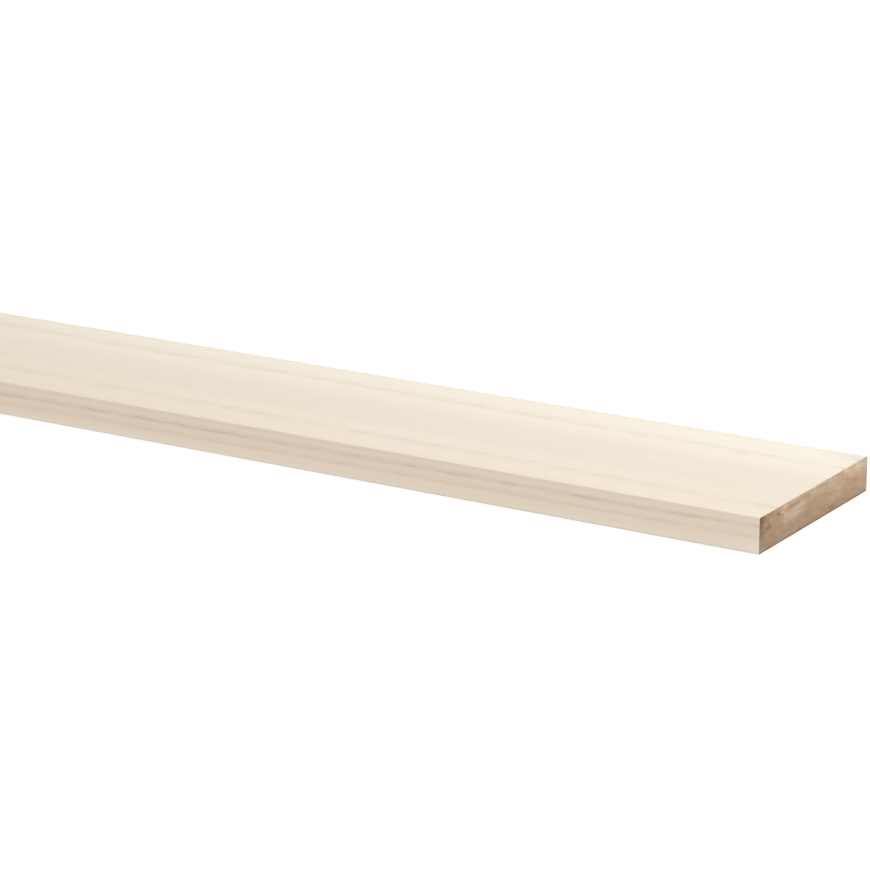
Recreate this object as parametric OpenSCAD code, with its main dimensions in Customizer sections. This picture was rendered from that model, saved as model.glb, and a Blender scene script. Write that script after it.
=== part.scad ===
// Planed softwood plank: one length of timber, planed on all four sides and sawn off square at both ends.
// It lies flat on its underside: X runs along the grain, Y across the width and Z up through the thickness.
// The origin is at the middle of the underside. Sizes are in millimetres.

/* [Stock] */
// Length between the two sawn ends
plank_length = 1800; // [300:50:4800]
// Finished width, from planed edge to planed edge
plank_width = 119; // [32:1:300]
// Finished thickness, from planed face to planed face
plank_thickness = 18; // [9:0.5:50]

/* [Arrises] */
// Radius that eases the four long arrises
arris_radius = 0.5; // [0.2:0.1:3]

/* [Hidden] */
// Cream of freshly planed whitewood
whitewood = [0.93, 0.88, 0.81];
// Sides of a full circle, where a curve is drawn with straight lines
circle_sides = 48;
// Distances of the arris centres from the middle of the section
arris_across = plank_width / 2 - arris_radius;
arris_up = plank_thickness / 2 - arris_radius;

// Cross-section that the planer leaves, centred on its own middle: a rectangle with four rounded corners
module planed_section() {
    square([plank_width, 2 * arris_up], center = true);
    square([2 * arris_across, plank_thickness], center = true);
    for (edge = [-1, 1], face = [-1, 1])
        translate([edge * arris_across, face * arris_up])
            circle(r = arris_radius, $fn = circle_sides);
}

// The whole board: the planed section run along the grain, from one sawn end to the other
module plank() {
    color(whitewood)
        translate([-plank_length / 2, 0, plank_thickness / 2])
            rotate([90, 0, 90])
                linear_extrude(height = plank_length)
                    planed_section();
}

plank();
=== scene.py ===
import math
from collections import namedtuple

import bmesh
import bpy
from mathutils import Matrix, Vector, noise


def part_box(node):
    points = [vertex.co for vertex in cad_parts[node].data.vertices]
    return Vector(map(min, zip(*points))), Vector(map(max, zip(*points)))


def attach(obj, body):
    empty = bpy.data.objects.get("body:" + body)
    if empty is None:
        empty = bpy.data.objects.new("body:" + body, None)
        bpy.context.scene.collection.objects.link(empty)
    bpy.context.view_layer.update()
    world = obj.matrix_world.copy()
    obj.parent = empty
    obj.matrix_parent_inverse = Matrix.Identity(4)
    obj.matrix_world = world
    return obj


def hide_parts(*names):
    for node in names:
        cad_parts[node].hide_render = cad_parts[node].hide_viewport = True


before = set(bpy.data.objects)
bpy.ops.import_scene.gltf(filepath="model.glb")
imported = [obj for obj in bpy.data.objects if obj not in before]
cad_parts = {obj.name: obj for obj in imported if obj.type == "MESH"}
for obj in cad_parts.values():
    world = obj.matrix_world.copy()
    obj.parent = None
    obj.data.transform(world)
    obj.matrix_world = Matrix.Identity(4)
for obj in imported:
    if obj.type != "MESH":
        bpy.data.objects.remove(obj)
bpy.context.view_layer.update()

# Plank
# One length of whitewood, sawn from the log, kiln-dried and planed on all four sides.
# The planer's cutters ease its long arrises, and a saw leaves both ends square and a little torn.
plank_low, plank_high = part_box("plank")
length, width, thickness = plank_high - plank_low
half_length = length / 2
half_width = width / 2
arris_radius = 0.0005
arris_steps = 4

blank = bmesh.new()
bmesh.ops.create_cube(blank, size=1.0)
bmesh.ops.scale(blank, vec=(length, width, thickness), verts=blank.verts)
bmesh.ops.translate(blank, vec=(plank_low + plank_high) / 2, verts=blank.verts)


def edges_along(axis):
    """The edges of the blank that run straight along X, Y or Z, given as 0, 1 or 2."""
    straight = 0.9999
    found = []
    for edge in blank.edges:
        run = edge.verts[1].co - edge.verts[0].co
        if abs(run[axis]) > straight * run.length:
            found.append(edge)
    return found


def slice_blank(axis, places):
    """Scores the blank all round at each place along an axis, so that its faces become a grid."""
    snap = 1e-5
    normal = Vector((0, 0, 0))
    normal[axis] = 1
    for place in places:
        whole = blank.verts[:] + blank.edges[:] + blank.faces[:]
        bmesh.ops.bisect_plane(blank, geom=whole, dist=snap, plane_co=place * normal, plane_no=normal)


bmesh.ops.bevel(
    blank,
    geom=edges_along(0),
    offset=arris_radius,
    offset_type="OFFSET",
    affect="EDGES",
    segments=arris_steps,
    profile=0.5,
    material=-1,
)

# Rows across the length crowd towards the sawn ends, where the torn fibres need them
half_rows = 60
row_crowding = 2.2
insets = [half_length * (row / half_rows) ** row_crowding for row in range(1, half_rows + 1)]
slice_blank(0, [half_length - inset for inset in insets] + [inset - half_length for inset in insets[:-1]])
edge_rows = 32
arris_turns = [math.pi / 2 * step / arris_steps for step in range(1, arris_steps + 1)]
arris_rises = [arris_radius * (1 - math.cos(turn)) for turn in arris_turns]
row_rise = (thickness - 2 * arris_radius) / edge_rows
edge_levels = [arris_radius + row_rise * row for row in range(1, edge_rows)]
slice_blank(2, arris_rises + edge_levels + [thickness - rise for rise in arris_rises])
face_rows = 234
bmesh.ops.subdivide_edges(blank, edges=edges_along(1), cuts=face_rows - 1, use_grid_fill=True)

# The six sides laid flat, with the long ones packed in strips and the two ends drawn larger
layout_margin = 0.004
ends_from = 0.81
flat_layout = blank.loops.layers.uv.new("OFBake")
long_span = ends_from - 2 * layout_margin
girth_scale = (1 - 5 * layout_margin) / (2 * width + 2 * thickness)
end_span = 1 - ends_from - layout_margin
end_height = (1 - 3 * layout_margin) / 2
strip_starts = {}
strip_top = layout_margin
for side, breadth in (("top", width), ("underside", width), ("front", thickness), ("back", thickness)):
    strip_starts[side] = strip_top
    strip_top += breadth * girth_scale + layout_margin
end_starts = {"right": layout_margin, "left": end_height + 2 * layout_margin}


def side_of(face):
    """Which of the six sides of the plank a face of the blank belongs to."""
    normal = face.normal
    if abs(normal.x) > max(abs(normal.y), abs(normal.z)):
        return "right" if normal.x > 0 else "left"
    if abs(normal.z) > abs(normal.y):
        return "top" if normal.z > 0 else "underside"
    return "back" if normal.y > 0 else "front"


blank.normal_update()
for face in blank.faces:
    face.smooth = True
    side = side_of(face)
    face.material_index = 1 if side in end_starts else 0
    for corner in face.loops:
        along = (corner.vert.co.x + half_length) / length
        across = corner.vert.co.y + half_width
        up = corner.vert.co.z
        if side in end_starts:
            place = (ends_from + end_span * up / thickness, end_starts[side] + end_height * across / width)
        elif side in ("top", "underside"):
            place = (layout_margin + long_span * along, strip_starts[side] + girth_scale * across)
        else:
            place = (layout_margin + long_span * along, strip_starts[side] + girth_scale * up)
        corner[flat_layout].uv = place
for edge in blank.edges:
    edge.smooth = len({face.material_index for face in edge.link_faces}) == 1

# Handling wears the arrises back a little, more in some places than in others
wear_depth = 0.00012
wear_waves = 14.0
for vert in blank.verts:
    x, y, z = vert.co
    in_y = half_width - abs(y)
    in_z = min(z, thickness - z)
    if max(in_y, in_z) <= arris_radius:
        sideways = 1 if y > 0 else -1
        upwards = 1 if z > thickness / 2 else -1
        corner_seed = 2 * sideways + upwards
        worn = max(0.0, noise.noise(Vector((x * wear_waves, corner_seed, 0))))
        share = 1 - abs(in_y - in_z) / arris_radius
        vert.co.y -= sideways * wear_depth * worn * share
        vert.co.z -= upwards * wear_depth * worn * share

# Marks on the right end, each a patch of torn or stained fibres or of painted shade: its middle as shares of
# the width and thickness, its half width and half height, how steeply it climbs towards the back, how firm
# its edge is, how deep it is torn, and the tint that it gives the wood
Mark = namedtuple("Mark", "across up half_wide half_high climb firmness torn tint")
end_marks = [
    # Darker towards the bottom, and a dark strip along the front that runs down into torn fibres and pale
    # flecks
    Mark(0.500, 0.00, 0.1400, 0.0100, 0.00, 1, 0.00000, (0.84, 0.84, 0.85)),
    Mark(0.000, 0.50, 0.0210, 0.0140, 0.00, 1, 0.00000, (0.81, 0.80, 0.77)),
    Mark(0.000, 0.85, 0.0046, 0.0080, 0.00, 2, 0.00000, (0.58, 0.58, 0.62)),
    Mark(0.000, 0.96, 0.0075, 0.0030, -0.10, 1, 0.00000, (0.64, 0.63, 0.65)),
    Mark(0.008, 0.29, 0.0032, 0.0040, 0.00, 2, 0.00000, (0.89, 0.93, 0.97)),
    Mark(0.000, 0.04, 0.0050, 0.0022, 0.00, 1, 0.00000, (1.06, 1.28, 1.52)),
    Mark(0.072, 0.74, 0.0046, 0.0014, -0.85, 1, 0.00015, (0.86, 0.82, 0.72)),
    Mark(0.078, 0.60, 0.0048, 0.0011, -0.27, 1, 0.00020, (0.70, 0.66, 0.60)),
    Mark(0.060, 0.53, 0.0030, 0.0013, 0.00, 1, 0.00000, (0.86, 0.86, 0.88)),
    Mark(0.046, 0.34, 0.0016, 0.0016, 0.00, 1, 0.00000, (0.85, 0.87, 0.89)),
    Mark(0.074, 0.26, 0.0022, 0.0012, 0.00, 1, 0.00000, (1.12, 1.13, 1.11)),
    Mark(0.125, 0.75, 0.0060, 0.0034, -0.20, 1, 0.00000, (0.98, 0.92, 0.85)),
    Mark(0.103, 0.77, 0.0016, 0.0007, -0.40, 1, 0.00000, (1.16, 1.17, 1.16)),
    Mark(0.057, 0.69, 0.0012, 0.0009, -0.30, 1, 0.00000, (1.24, 1.25, 1.22)),
    # Grey rims along the bottom and the back, each with a paler stretch. The bottom rim is painted shade at
    # the floor
    Mark(0.500, 0.00, 0.1000, 0.0009, 0.00, 2, 0.00000, (0.64, 0.67, 0.73)),
    Mark(0.312, 0.05, 0.0038, 0.0010, 0.00, 2, 0.00000, (1.18, 1.14, 1.18)),
    Mark(1.000, 0.50, 0.0024, 0.0100, 0.00, 1, 0.00000, (0.89, 0.97, 1.12)),
    Mark(0.988, 0.85, 0.0018, 0.0045, 0.00, 1, 0.00000, (1.07, 1.18, 1.30)),
    # A pale slab where the saw lifted the fibres, with a bright lip, and shade above, below and beside it
    Mark(0.316, 0.615, 0.0116, 0.0025, 0.05, 5, 0.00035, (1.16, 1.25, 1.32)),
    Mark(0.388, 0.745, 0.0032, 0.0010, -0.18, 2, 0.00000, (1.11, 1.13, 1.15)),
    Mark(0.300, 0.825, 0.0075, 0.0006, 0.01, 2, 0.00010, (0.82, 0.79, 0.75)),
    Mark(0.365, 0.35, 0.0125, 0.0025, 0.09, 2, 0.00000, (0.90, 0.92, 0.93)),
    Mark(0.487, 0.48, 0.0090, 0.0038, 0.06, 2, 0.00000, (0.92, 0.93, 0.94)),
    # A resin spot with a light fleck and a dark crack beside it, and torn fibres below
    Mark(0.165, 0.81, 0.0023, 0.0010, -0.20, 1, 0.00025, (0.60, 0.46, 0.39)),
    Mark(0.203, 0.79, 0.0022, 0.0009, -0.20, 1, 0.00000, (1.38, 1.45, 1.47)),
    Mark(0.203, 0.72, 0.0022, 0.0004, -0.35, 1, 0.00010, (0.82, 0.78, 0.74)),
    Mark(0.154, 0.36, 0.0012, 0.0006, -0.30, 1, 0.00010, (1.18, 1.22, 1.24)),
    Mark(0.259, 0.29, 0.0016, 0.0005, -0.40, 1, 0.00010, (1.18, 1.22, 1.24)),
    # Paler fibres that the saw combed up along the top edge, and warm streaks of resin between them
    Mark(0.570, 1.03, 0.0560, 0.0011, 0.00, 1, 0.00000, (1.12, 1.17, 1.23)),
    Mark(0.225, 0.91, 0.0034, 0.0012, -0.05, 1, 0.00000, (1.18, 1.20, 1.21)),
    Mark(0.315, 0.95, 0.0060, 0.0011, -0.03, 1, 0.00000, (1.15, 1.17, 1.16)),
    Mark(0.390, 0.89, 0.0060, 0.0013, -0.14, 1, 0.00000, (1.05, 0.97, 0.82)),
    Mark(0.472, 0.73, 0.0016, 0.0009, 0.20, 1, 0.00000, (1.08, 1.07, 1.08)),
    Mark(0.570, 0.77, 0.0062, 0.0017, -0.05, 1, 0.00000, (1.07, 1.05, 0.95)),
    Mark(0.575, 0.975, 0.0045, 0.0008, 0.00, 1, 0.00000, (0.94, 0.97, 1.02)),
    Mark(0.630, 0.86, 0.0190, 0.0036, -0.05, 1, 0.00000, (1.05, 1.10, 1.14)),
    # Warm stains low in the middle and towards the back, and paler wood above them
    Mark(0.572, 0.25, 0.0075, 0.0022, 0.18, 1, 0.00000, (1.04, 0.94, 0.89)),
    Mark(0.670, 0.12, 0.0045, 0.0012, -0.10, 1, 0.00015, (0.75, 0.67, 0.57)),
    Mark(0.767, 0.23, 0.0020, 0.0010, -0.30, 1, 0.00000, (1.03, 0.96, 0.92)),
    Mark(0.830, 0.22, 0.0055, 0.0010, -0.25, 1, 0.00000, (0.99, 1.01, 0.85)),
    Mark(0.850, 0.50, 0.0080, 0.0022, -0.20, 1, 0.00000, (0.93, 0.91, 0.88)),
    Mark(0.705, 0.47, 0.0100, 0.0030, -0.05, 1, 0.00000, (1.06, 1.08, 1.08)),
    Mark(0.800, 0.74, 0.0050, 0.0022, -0.10, 1, 0.00000, (1.10, 1.07, 1.04)),
    # Fresh pale wood in the largest chip of the top edge, a warm shade below it, and the pale back corner
    Mark(0.808, 0.93, 0.0034, 0.0011, -0.25, 2, 0.00000, (1.20, 1.32, 1.40)),
    Mark(0.752, 0.98, 0.0022, 0.0009, -0.10, 1, 0.00000, (1.12, 1.14, 1.14)),
    Mark(0.775, 0.86, 0.0040, 0.0009, -0.30, 1, 0.00000, (1.02, 0.95, 0.87)),
    Mark(0.920, 0.84, 0.0078, 0.0032, -0.10, 1, 0.00000, (1.32, 1.44, 1.57)),
]
# Broken fibres make the edges of the marks ragged, the less so the firmer a mark is
ragged_waves = 420.0
ragged_reach_y = 0.0012
ragged_reach_z = 0.0006
ragged_seed_y = 0.3
ragged_seed_z = 6.8


def patch(y, z, mark):
    """How much of a mark shows at a place on the end, from 0 to 1."""
    from_middle = y + half_width - mark.across * width
    off_y = from_middle / mark.half_wide
    off_z = (z - mark.up * thickness - mark.climb * from_middle) / mark.half_high
    return math.exp(-(off_y ** (2 * mark.firmness)) - off_z ** (2 * mark.firmness))


# The saw's teeth leave faint arcs across an end, and pluck out fibres between them
saw_centre_y = 0.03
saw_centre_z = -0.14
saw_pitch = 0.0023
saw_score = 0.00006
saw_wobble = 2.0
wobble_waves = 300.0
wobble_seed = 5.0
pluck_depth = 0.00012
pluck_waves = 520.0
pluck_fading = 1.0
pluck_refining = 2.0
pluck_octaves = 3
pluck_seed = 9.0


def sawn_depth(y, z, end):
    """How far the saw's teeth and the plucked fibres lie below an end's highest points, in metres."""
    from_centre = math.hypot(y - saw_centre_y * end, z - saw_centre_z)
    wobble = noise.noise(Vector((y * wobble_waves, z * wobble_waves, end * wobble_seed)))
    wave = math.sin(2 * math.pi * from_centre / saw_pitch + saw_wobble * wobble)
    place = Vector((y * pluck_waves, z * pluck_waves, end * pluck_seed))
    plucked = noise.fractal(place, pluck_fading, pluck_refining, pluck_octaves)
    return saw_score * (1 + wave) / 2 + pluck_depth * max(0.0, plucked)


# The saw also tears splinters from an end's long edges, most of all from the upper one, and has broken
# chips out of the right end's upper edge: their middles as shares of the width, half widths and depths
top_chips = [
    (0.810, 0.0042, 0.0008),
    (0.850, 0.0010, 0.0004),
    (0.905, 0.0016, 0.0004),
    (0.645, 0.0018, 0.0004),
    (0.470, 0.0090, 0.0003),
    (0.235, 0.0012, 0.0003),
]
chip_squareness = 4
splinter_reach = 0.0030
splinter_depth = 0.0032
splinter_waves = 240.0
hair_waves = 744.0
splinter_share = 0.75
hair_share = 0.35
splinter_least = 0.05
lower_share = 0.04
upper_seed = 0.4
lower_seed = 5.2
splinter_seed = 7.3
hair_seed = 3.1


def torn_away(y, end, edge_seed):
    """How far the saw tore the wood away along an end's long edge, in metres."""
    coarse = noise.noise(Vector((y * splinter_waves, end * splinter_seed, edge_seed)))
    fine = noise.noise(Vector((y * hair_waves, end * hair_seed, edge_seed)))
    return splinter_depth * max(0.0, splinter_share * coarse + hair_share * fine - splinter_least)


end_tint = blank.verts.layers.float_color.new("end_tint")
flush = 1e-6
for vert in blank.verts:
    x, y, z = vert.co
    end = 1 if x > 0 else -1
    inset = half_length - abs(x)
    tint = [1.0, 1.0, 1.0]
    sunk = 0.0
    if inset < flush:
        sunk += sawn_depth(y, z, end)
        if end > 0:
            shake_y = noise.noise(Vector((y * ragged_waves, z * ragged_waves, ragged_seed_y)))
            shake_z = noise.noise(Vector((y * ragged_waves, z * ragged_waves, ragged_seed_z)))
            for mark in end_marks:
                ragged_y = y + ragged_reach_y * shake_y / mark.firmness
                ragged_z = z + ragged_reach_z * shake_z / mark.firmness
                share = patch(ragged_y, ragged_z, mark)
                sunk += share * mark.torn
                tint = [held * (1 + share * (given - 1)) for held, given in zip(tint, mark.tint)]
    vert[end_tint] = (*tint, 1.0)
    nearness = max(0.0, 1 - inset / splinter_reach)
    if nearness > 0:
        torn = torn_away(y, end, upper_seed)
        if end > 0:
            for across, half_wide, depth in top_chips:
                off_chip = (y + half_width - across * width) / half_wide
                torn += depth * math.exp(-(off_chip ** chip_squareness))
        lost_above = torn * nearness * max(0.0, 1 - (thickness - z) / splinter_reach)
        torn = lower_share * torn_away(y, end, lower_seed)
        lost_below = torn * nearness * max(0.0, 1 - z / splinter_reach)
        vert.co.z += lost_below - lost_above
        sunk += lost_below + lost_above
    vert.co.x -= end * sunk

plank_mesh = bpy.data.meshes.new("whitewood_plank")
blank.to_mesh(plank_mesh)
blank.free()
plank = bpy.data.objects.new("whitewood_plank", plank_mesh)
bpy.context.scene.collection.objects.link(plank)


def place_node(tree, kind, inputs=(), **settings):
    """Adds a node, with its settings and with each input either linked to a socket or set to a value."""
    made = tree.nodes.new(kind)
    for name, value in settings.items():
        setattr(made, name, value)
    for name, value in dict(inputs).items():
        if isinstance(value, bpy.types.NodeSocket):
            tree.links.new(value, made.inputs[name])
        elif made.inputs[name].type == "RGBA":
            made.inputs[name].default_value = (*value, 1.0)
        else:
            made.inputs[name].default_value = value
    return made


def calculate(tree, operation, first, second=0.0, third=0.0):
    """One step of arithmetic between sockets or numbers."""
    return place_node(tree, "ShaderNodeMath", {0: first, 1: second, 2: third}, operation=operation).outputs[0]


def combine(tree, operation, first, second, third=(0.0, 0.0, 0.0)):
    """One step of arithmetic between sockets or numbers in threes."""
    inputs = {0: first, 1: second, 2: third}
    return place_node(tree, "ShaderNodeVectorMath", inputs, operation=operation).outputs["Vector"]


def grain_noise(tree, position, waves, detail=2.0, turn=(0.0, 0.0, 0.0)):
    """Noise with waves of these lengths along X, Y and Z, in metres, turned so far about those axes."""
    inputs = {"Vector": position, "Scale": waves, "Rotation": turn}
    spread = place_node(tree, "ShaderNodeMapping", inputs, vector_type="TEXTURE").outputs[0]
    return place_node(tree, "ShaderNodeTexNoise", {"Vector": spread, "Scale": 1.0, "Detail": detail})


def ramp(tree, factor, stops):
    """A curve through stops of (place, height), as a factor."""
    made = place_node(tree, "ShaderNodeValToRGB", {"Fac": factor})
    elements = made.color_ramp.elements
    while len(elements) < len(stops):
        elements.new(1.0)
    for element, (place, height) in zip(elements, stops):
        element.position = place
        element.color = (height, height, height, 1.0)
    return made.outputs["Color"]


# A Mix node has sockets of the same name for numbers and for colours, so these are told by their places
mix_numbers = (2, 3)
mixed_number = 0
mix_colours = (6, 7)
mixed_colour = 2


def tint_by(tree, colour, factor, tint):
    """Multiplies a colour by a tint, as far as the factor says."""
    inputs = {"Factor": factor, mix_colours[0]: colour, mix_colours[1]: tint}
    mixed = place_node(tree, "ShaderNodeMix", inputs, data_type="RGBA", blend_type="MULTIPLY")
    return mixed.outputs[mixed_colour]


def change_over(tree, factor, first, second):
    """Goes from one number to another as the factor goes from 0 to 1."""
    inputs = {"Factor": factor, mix_numbers[0]: first, mix_numbers[1]: second}
    return place_node(tree, "ShaderNodeMix", inputs, data_type="FLOAT").outputs[mixed_number]


def how_far(tree, value, start, full, **settings):
    """How far a value has gone from one limit to another, as a factor from 0 to 1."""
    limits = {"Value": value, "From Min": start, "From Max": full}
    return place_node(tree, "ShaderNodeMapRange", limits, **settings).outputs[0]


# The board was cut beside the heart of the log: the pith runs below its underside, a little askew
pith_depth = 0.1770
pith_offset = 0.0086
pith_skew = math.atan(0.0129)
pith_tilt = 0.0006
ring_radius = 0.1979
ring_spacing = 0.0050
sway_waves = (0.385, 0.111, 0.111)
sway_reach = Vector((0.0, 0.004, 0.0025))
fray_waves = (0.014, 0.0030, 0.0030)
fray_reach = 0.0014
fray_detail = 3.0


def growth_rings(tree, position):
    """The years grown at each place, counted from spring to spring, with a dark line at each half year."""
    lean = {
        "Vector": position,
        "Location": (0.0, -pith_offset, pith_depth),
        "Rotation": (0.0, pith_tilt, pith_skew),
    }
    from_pith = place_node(tree, "ShaderNodeMapping", lean).outputs[0]
    wander = grain_noise(tree, position, sway_waves).outputs["Color"]
    sway = combine(tree, "MULTIPLY_ADD", wander, sway_reach, -sway_reach / 2)
    across = combine(tree, "MULTIPLY", combine(tree, "ADD", from_pith, sway), (0.0, 1.0, 1.0))
    radius = place_node(tree, "ShaderNodeVectorMath", {0: across}, operation="LENGTH").outputs["Value"]
    frayed = grain_noise(tree, position, fray_waves, detail=fray_detail).outputs["Fac"]
    radius = calculate(tree, "MULTIPLY_ADD", frayed, fray_reach, radius)
    grown = calculate(tree, "SUBTRACT", radius, ring_radius - ring_spacing / 2 + fray_reach / 2)
    return calculate(tree, "DIVIDE", grown, ring_spacing)


# What each year left, from the oldest in the board to the youngest: the strength of its dark latewood
# line, and how dull all of its wood is
oldest_year = -4
line_strengths = [0.9, 0.6, 0.05, 0.5, 1.0, 0.3]
year_tones = [0.6, 0.8, 0.0, 0.8, 1.0, 1.0]


def by_year(tree, years, heights):
    """The height that a list gives for the middle of each year, as a factor."""
    count = len(heights)
    place = calculate(tree, "MULTIPLY_ADD", years, 1 / count, -oldest_year / count)
    return ramp(tree, place, [((step + 0.5) / count, height) for step, height in enumerate(heights)])


# Planed faces: pale cream wood, with a browner line of latewood at the close of each year. The line is
# fainter and broken into dashes on the wide faces, which run nearly along the rings
cream = (0.94, 0.884, 0.775)
band_curve = [
    (0.12, 0.0),
    (0.24, 0.2),
    (0.33, 0.5),
    (0.43, 0.9),
    (0.50, 1.0),
    (0.60, 0.85),
    (0.73, 0.5),
    (0.86, 0.2),
    (1.0, 0.0),
]
core_curve = [(0.36, 0.0), (0.45, 0.9), (0.50, 1.0), (0.56, 0.8), (0.68, 0.0)]
latewood_tint = (0.85, 0.82, 0.78)
dash_waves = (0.013, 0.0050, 0.0050)
dash_turn = (0.0, 0.0, -0.05)
dash_curve = [(0.40, 0.0), (0.57, 1.0)]
edge_dash_least = 0.65
edge_band_share = 0.8
edge_core_share = 0.35
wide_band_share = 0.25
wide_core_share = 0.45
# The wide faces are greyer towards the heart of the log, and all the wood is darker and warmer towards the
# front: painted shade
heart_grey_from = 0.35
heart_grey_full = -0.15
heart_tint = (0.950, 0.940, 0.938)
year_tint = (0.935, 0.93, 0.925)
front_shade_tint = (0.94, 0.89, 0.85)
# Painted light: the edges are lighter towards the underside, palest and coolest in the lowest fibres, as if
# lit by the floor.
# Painted shade: the wide faces are darker and warmer away from the right end, where the lamp lights them
# less.
floor_bounce_height = 0.0085
floor_bounce_tint = (1.055, 1.065, 1.075)
cool_bounce_height = 0.0030
cool_bounce_tint = (1.00, 1.09, 1.18)
lamp_falloff_from = 0.75
lamp_falloff_full = 0.35
lamp_falloff_tint = (0.977, 0.956, 0.935)
# Hands have greyed the upper back corner beside the right end
handled_reach = 0.024
handled_tint = (0.865, 0.885, 0.91)
# Fainter marks of the grain: the lengths of their waves, where in the noise they start and are full,
# and their tints
planed_marks = {
    "streaks": ((0.110, 0.0016, 0.0016), (0.35, 0.70), (0.980, 0.975, 0.970)),
    "fibres": ((0.031, 0.0004, 0.0004), (0.40, 0.75), (0.975, 0.970, 0.960)),
    "clouds": ((0.330, 0.0220, 0.0220), (0.35, 0.65), (1.000, 0.980, 0.970)),
    "flecks": ((0.008, 0.0005, 0.0005), (0.66, 0.74), (0.920, 0.890, 0.850)),
    "straw": ((0.022, 0.0050, 0.0050), (0.47, 0.62), (0.992, 1.000, 0.978)),
    "blush": ((0.026, 0.0060, 0.0060), (0.47, 0.62), (1.006, 0.990, 0.990)),
}
planed_roughness = 0.42
fibre_roughness = 0.16
latewood_polish = 0.10
latewood_relief = 0.6
fibre_relief = 0.4
planed_bump = 0.35
planed_bump_depth = 0.00012
planed = bpy.data.materials.new("planed_whitewood")
planed.use_nodes = True
tree = planed.node_tree
surface = tree.nodes["Principled BSDF"]
coordinates = place_node(tree, "ShaderNodeTexCoord")
position = coordinates.outputs["Object"]
years = growth_rings(tree, position)
season = calculate(tree, "FRACT", years)
facing_up = place_node(tree, "ShaderNodeSeparateXYZ", {0: coordinates.outputs["Normal"]}).outputs["Z"]
wide_face = calculate(tree, "ABSOLUTE", facing_up)
dashes = ramp(tree, grain_noise(tree, position, dash_waves, turn=dash_turn).outputs["Fac"], dash_curve)
band = ramp(tree, season, band_curve)
core = calculate(tree, "MULTIPLY", ramp(tree, season, core_curve), dashes)
on_edges = calculate(tree, "MULTIPLY", band, calculate(tree, "MAXIMUM", dashes, edge_dash_least))
on_edges = calculate(tree, "MULTIPLY", on_edges, edge_band_share)
on_edges = calculate(tree, "MULTIPLY_ADD", core, edge_core_share, on_edges)
on_wide = calculate(tree, "MULTIPLY", core, wide_core_share)
on_wide = calculate(tree, "MULTIPLY_ADD", band, wide_band_share, on_wide)
latewood = change_over(tree, wide_face, on_edges, on_wide)
latewood = calculate(tree, "MULTIPLY", latewood, by_year(tree, years, line_strengths))
heartwards = how_far(tree, years, heart_grey_from, heart_grey_full, interpolation_type="SMOOTHSTEP")
place = place_node(tree, "ShaderNodeSeparateXYZ", {0: position}).outputs
narrow_face = calculate(tree, "SUBTRACT", 1.0, wide_face)
to_corner = {0: position, 1: (half_length, half_width, thickness)}
from_corner = place_node(tree, "ShaderNodeVectorMath", to_corner, operation="DISTANCE").outputs["Value"]
planed_tints = [
    (latewood, latewood_tint),
    (calculate(tree, "MULTIPLY", heartwards, wide_face), heart_tint),
    (by_year(tree, years, year_tones), year_tint),
    # Painted shade: darker and warmer towards the front
    (calculate(tree, "MULTIPLY_ADD", place["Y"], -1 / width, 0.5), front_shade_tint),
    # Painted light from the floor on the lower edges
    (calculate(tree, "MULTIPLY", how_far(tree, place["Z"], floor_bounce_height, 0.0), narrow_face), floor_bounce_tint),
    (calculate(tree, "MULTIPLY", how_far(tree, place["Z"], cool_bounce_height, 0.0), narrow_face), cool_bounce_tint),
    # Painted shade on the wide faces away from the right end
    (calculate(tree, "MULTIPLY", how_far(tree, place["X"], lamp_falloff_from, lamp_falloff_full), wide_face), lamp_falloff_tint),
    (how_far(tree, from_corner, handled_reach, 0.0), handled_tint),
]
colour = cream
for factor, tint in planed_tints:
    colour = tint_by(tree, colour, factor, tint)
grain = {}
for name, (waves, (start, full), tint) in planed_marks.items():
    grain[name] = grain_noise(tree, position, waves).outputs["Fac"]
    colour = tint_by(tree, colour, ramp(tree, grain[name], [(start, 0.0), (full, 1.0)]), tint)
tree.links.new(colour, surface.inputs["Base Color"])
roughness = calculate(tree, "MULTIPLY_ADD", grain["fibres"], fibre_roughness, planed_roughness)
roughness = calculate(tree, "MULTIPLY_ADD", latewood, -latewood_polish, roughness)
tree.links.new(roughness, surface.inputs["Roughness"])
relief = calculate(tree, "MULTIPLY", grain["fibres"], fibre_relief)
relief = calculate(tree, "MULTIPLY_ADD", latewood, latewood_relief, relief)
bump_inputs = {"Height": relief, "Strength": planed_bump, "Distance": planed_bump_depth}
tree.links.new(place_node(tree, "ShaderNodeBump", bump_inputs).outputs[0], surface.inputs["Normal"])

# Sawn ends: cut fibres drink up dirt and moisture, so they are browner, blotched and smeared by the saw
tan_brown = (0.590, 0.437, 0.309)
end_line_curve = [(0.20, 0.0), (0.38, 0.6), (0.50, 1.0), (0.58, 0.5), (0.70, 0.0)]
end_line_tint = (0.88, 0.85, 0.81)
smear_turn = (-0.28, 0.0, 0.0)
# Marks of the saw and of the weather, listed as those of the planed faces are
sawn_marks = {
    "blotches": ((0.05, 0.0160, 0.0080), (0.38, 0.64), (0.900, 0.890, 0.880)),
    "smears": ((0.05, 0.0065, 0.0019), (0.40, 0.66), (0.925, 0.920, 0.915)),
    "warmth": ((0.05, 0.0100, 0.0050), (0.40, 0.65), (1.000, 0.960, 0.910)),
    "olive": ((0.05, 0.0085, 0.0034), (0.52, 0.68), (0.980, 1.000, 0.945)),
    "rosy": ((0.05, 0.0072, 0.0028), (0.52, 0.68), (1.030, 0.965, 0.950)),
    "scores": ((0.05, 0.0042, 0.0008), (0.42, 0.70), (0.940, 0.930, 0.920)),
    "pores": ((0.02, 0.0005, 0.0005), (0.45, 0.75), (0.940, 0.930, 0.920)),
}
sawn_roughness = 0.75
pore_roughness = 0.2
sawn_gloss = 0.2
score_relief = 0.5
pore_relief = 0.5
sawn_bump = 0.6
sawn_bump_depth = 0.0003
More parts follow.
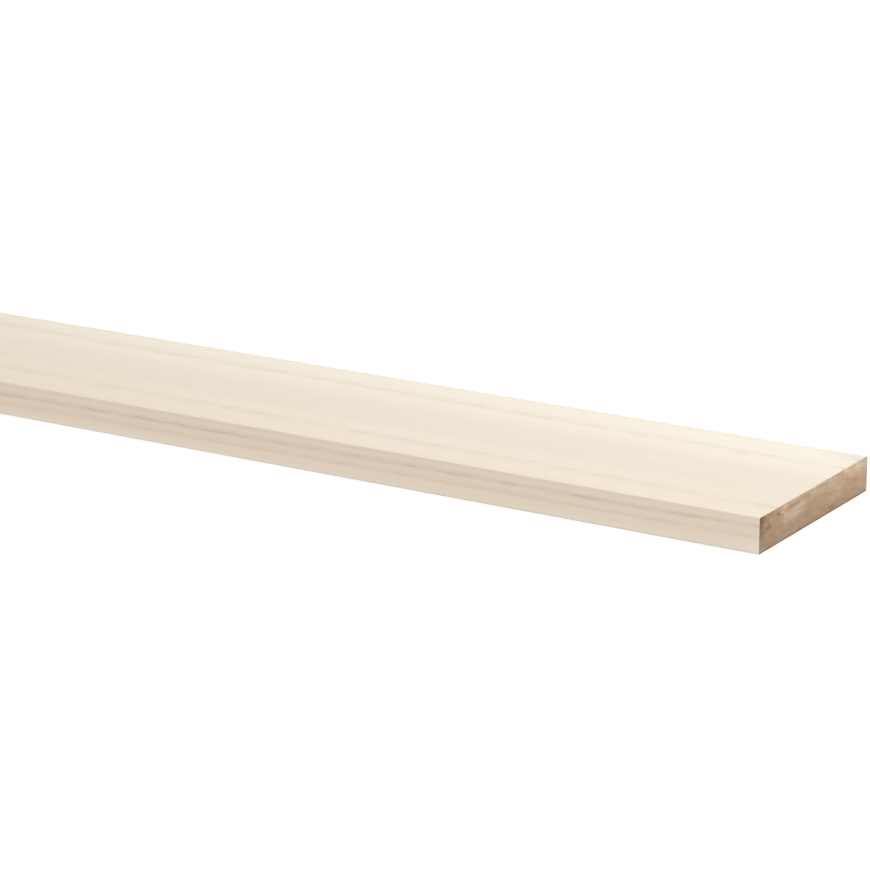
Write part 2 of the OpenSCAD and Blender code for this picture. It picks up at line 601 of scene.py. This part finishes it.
sawn = bpy.data.materials.new("sawn_end_grain")
sawn.use_nodes = True
tree = sawn.node_tree
surface = tree.nodes["Principled BSDF"]
position = place_node(tree, "ShaderNodeTexCoord").outputs["Object"]
season = calculate(tree, "FRACT", growth_rings(tree, position))
colour = tan_brown
grain = {}
for name, (waves, (start, full), tint) in sawn_marks.items():
    grain[name] = grain_noise(tree, position, waves, turn=smear_turn).outputs["Fac"]
    colour = tint_by(tree, colour, ramp(tree, grain[name], [(start, 0.0), (full, 1.0)]), tint)
latewood = calculate(tree, "MULTIPLY", ramp(tree, season, end_line_curve), grain["smears"])
colour = tint_by(tree, colour, latewood, end_line_tint)
marks = place_node(tree, "ShaderNodeAttribute", attribute_name="end_tint").outputs["Color"]
tree.links.new(tint_by(tree, colour, 1.0, marks), surface.inputs["Base Color"])
roughness = calculate(tree, "MULTIPLY_ADD", grain["pores"], pore_roughness, sawn_roughness)
tree.links.new(roughness, surface.inputs["Roughness"])
surface.inputs["Specular IOR Level"].default_value = sawn_gloss
relief = calculate(tree, "MULTIPLY", grain["pores"], pore_relief)
relief = calculate(tree, "MULTIPLY_ADD", grain["scores"], score_relief, relief)
bump_inputs = {"Height": relief, "Strength": sawn_bump, "Distance": sawn_bump_depth}
tree.links.new(place_node(tree, "ShaderNodeBump", bump_inputs).outputs[0], surface.inputs["Normal"])

plank_mesh.materials.append(planed)
plank_mesh.materials.append(sawn)
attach(plank, "root")
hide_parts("plank")

# Floor
# A white studio floor that the plank lies on. The camera sees it as white paper with the plank's soft
# shadow, and everything else sees plain matt white, so that it throws light back up at the plank.
floor_size = 40.0
floor_white = (0.88, 0.83, 0.80)
shadow_share = 0.32
paper_glow = 0.745
sheet = bmesh.new()
bmesh.ops.create_grid(sheet, x_segments=1, y_segments=1, size=floor_size / 2)
floor_mesh = bpy.data.meshes.new("studio_floor")
sheet.to_mesh(floor_mesh)
sheet.free()
floor = bpy.data.objects.new("studio_floor", floor_mesh)
bpy.context.scene.collection.objects.link(floor)


def seen_rays(tree):
    """1 where the camera sees a place, also in a reflection or through glass, and 0 elsewhere."""
    rays = place_node(tree, "ShaderNodeLightPath").outputs
    seen = calculate(tree, "MAXIMUM", rays["Is Camera Ray"], rays["Is Glossy Ray"])
    return calculate(tree, "MAXIMUM", seen, rays["Is Transmission Ray"])


paper = bpy.data.materials.new("floor_paper")
paper.use_nodes = True
tree = paper.node_tree
tree.nodes.remove(tree.nodes["Principled BSDF"])
matt = place_node(tree, "ShaderNodeBsdfDiffuse", {"Color": floor_white})
veil = place_node(tree, "ShaderNodeBsdfDiffuse", {"Color": (shadow_share, shadow_share, shadow_share)})
glow = place_node(tree, "ShaderNodeEmission", {"Color": (1.0, 1.0, 1.0), "Strength": paper_glow})
lit_paper = place_node(tree, "ShaderNodeAddShader", {0: veil.outputs[0], 1: glow.outputs[0]})
either_way = {0: seen_rays(tree), 1: matt.outputs[0], 2: lit_paper.outputs[0]}
either = place_node(tree, "ShaderNodeMixShader", either_way)
tree.links.new(either.outputs[0], tree.nodes["Material Output"].inputs["Surface"])
floor_mesh.materials.append(paper)

# Studio light
# A white room all round, and one large soft lamp overhead, behind the plank and just past its right end.
room_level = 0.85
seen_level = 1.0
lamp_power = 4.0
lamp_size = 0.9
lamp_place = Vector((1.2, 0.40, 0.9))
lamp_aim = Vector((1.2, 0.3, 0.0))
world = bpy.data.worlds.new("white_room")
bpy.context.scene.world = world
world.use_nodes = True
tree = world.node_tree
level = change_over(tree, seen_rays(tree), room_level, seen_level)
room = tree.nodes["Background"]
room.inputs["Color"].default_value = (1.0, 1.0, 1.0, 1.0)
tree.links.new(level, room.inputs["Strength"])
lamp_data = bpy.data.lights.new("overhead_softbox", "AREA")
lamp_data.size = lamp_size
lamp_data.energy = lamp_power
lamp = bpy.data.objects.new("overhead_softbox", lamp_data)
lamp.location = lamp_place
lamp.rotation_euler = (lamp_aim - lamp_place).to_track_quat("-Z", "Y").to_euler()
lamp.visible_camera = False
lamp.visible_glossy = False
bpy.context.scene.collection.objects.link(lamp)

# Camera
# It stands in front of the plank's right end, a little above it, and sees the plank run out of the
# left of the picture. It is placed by where the end's lower front corner shows.
picture_pixels = 870
focal_pixels = 3257
corner_pixel_x = 758.35
corner_pixel_y = 554.45
corner_depth = 1.521
camera_azimuth = math.radians(31.98)
camera_elevation = math.radians(16.29)
sensor_width = 36.0
view_reach = 100.0
corner = Vector((plank_high.x, plank_low.y, plank_low.z))
ahead = Vector(
    (
        -math.sin(camera_azimuth) * math.cos(camera_elevation),
        math.cos(camera_azimuth) * math.cos(camera_elevation),
        -math.sin(camera_elevation),
    )
)
rightward = ahead.cross(Vector((0, 0, 1))).normalized()
upward = rightward.cross(ahead)
picture_middle = (picture_pixels - 1) / 2
right_share = (corner_pixel_x - picture_middle) / focal_pixels
down_share = (corner_pixel_y - picture_middle) / focal_pixels
camera_data = bpy.data.cameras.new("camera")
camera_data.sensor_width = sensor_width
camera_data.lens = sensor_width * focal_pixels / picture_pixels
camera_data.clip_end = view_reach
camera = bpy.data.objects.new("camera", camera_data)
camera.location = corner - corner_depth * (ahead + right_share * rightward - down_share * upward)
camera.rotation_euler = ahead.to_track_quat("-Z", "Y").to_euler()
bpy.context.scene.collection.objects.link(camera)
bpy.context.scene.camera = camera
bpy.context.scene.view_settings.view_transform = "Standard"
